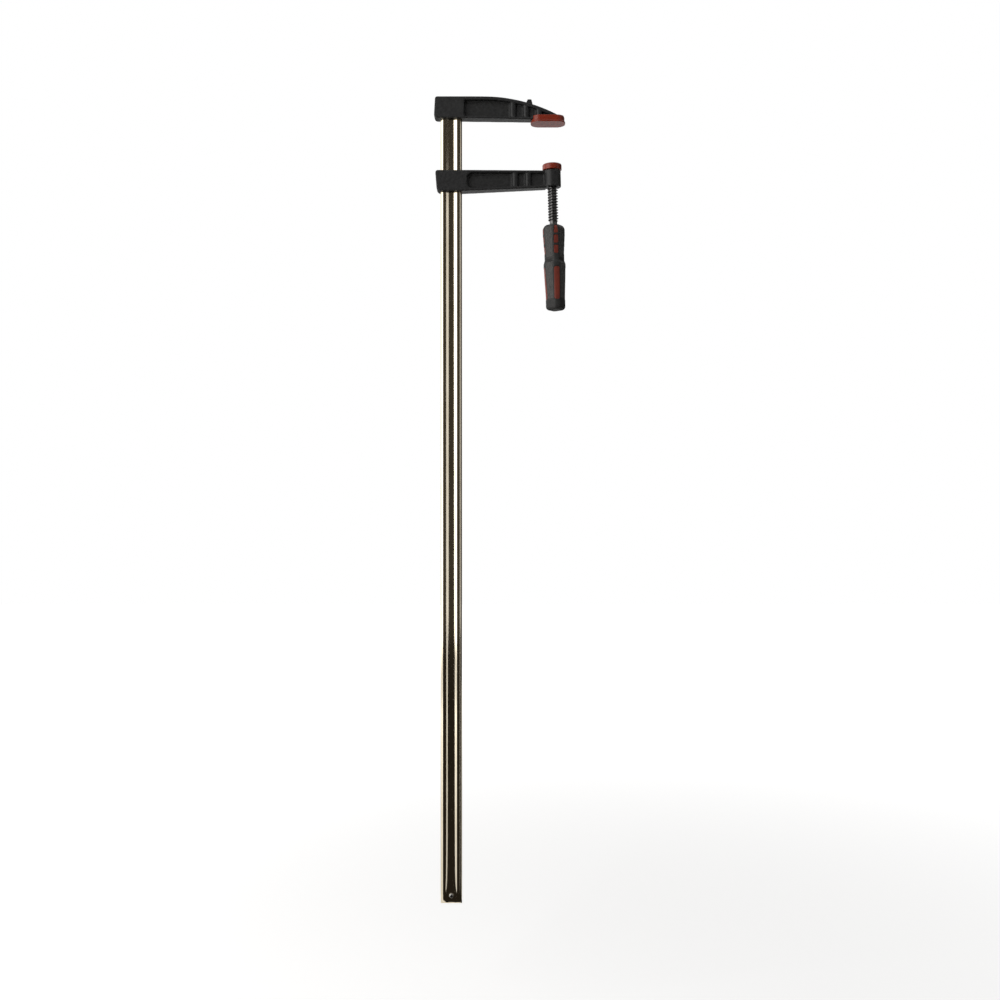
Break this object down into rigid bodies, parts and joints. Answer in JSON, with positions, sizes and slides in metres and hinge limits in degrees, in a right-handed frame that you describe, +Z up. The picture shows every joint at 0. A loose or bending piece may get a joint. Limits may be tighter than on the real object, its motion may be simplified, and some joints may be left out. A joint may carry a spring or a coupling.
{
  "type": "screw clamp",
  "caption": "Bar clamp with a grooved steel rail, a fixed cast jaw and a sliding cast arm, closed by a screw with a swivel plate and a soft-grip handle.",
  "frame": {"origin": "on the fixed jaw's clamping face, where the screw's axis meets it", "axes": "+Z up along the rail towards the fixed jaw, +X from the rail towards the screw, Y across the jaws"},
  "size_m": [0.1778, 0.0298, 1.0869],
  "materials": {
    "rail_steel": "dark bronze-toned polished steel",
    "bright_steel": "plain steel",
    "black_casting": "satin black enamel over a cast surface",
    "red_cover": "satin moulded plastic",
    "black_screw": "blackened and oiled steel",
    "red_handle": "moulded plastic",
    "grey_grip": "fine textured soft grip"
  },
  "bodies": {
    "clamp_rail": {"rail": "rail_steel", "end_stop_pin": "bright_steel", "fixed_jaw": "black_casting", "jaw_cover": "red_cover"},
    "arm": {"sliding_arm": "black_casting"},
    "swivel_ring": {"plate_ring": "bright_steel"},
    "swivel_plate": {"pressure_plate": "bright_steel", "plate_cover": "red_cover"},
    "screw": {"spindle": "black_screw", "handle_core": "red_handle", "handle_grip": "grey_grip"}
  },
  "joints": [
    {"name": "arm_slide", "type": "slide", "parent": "clamp_rail", "child": "arm", "axis": [0, 0, 1], "range_m": [-0.9454, 0.007]},
    {"name": "screw_advance", "type": "slide", "parent": "arm", "child": "swivel_ring", "axis": [-0.0262, 0, 0.9997], "range_m": [0, 0.0456]},
    {"name": "screw_turn", "type": "hinge", "parent": "swivel_ring", "child": "screw", "pos_m": [0, 0, 0], "axis": [-0.0262, 0, 0.9997], "range_deg": [0, 4320]},
    {"name": "plate_tilt", "type": "hinge", "parent": "swivel_ring", "child": "swivel_plate", "pos_m": [0.00168, 0, -0.06428], "axis": [0, 1, 0], "range_deg": [-4, 4]}
  ],
  "couplings": [
    {"joint": "screw_advance", "follows": "screw_turn", "m_per_rad": 0.00060479}
  ]
}
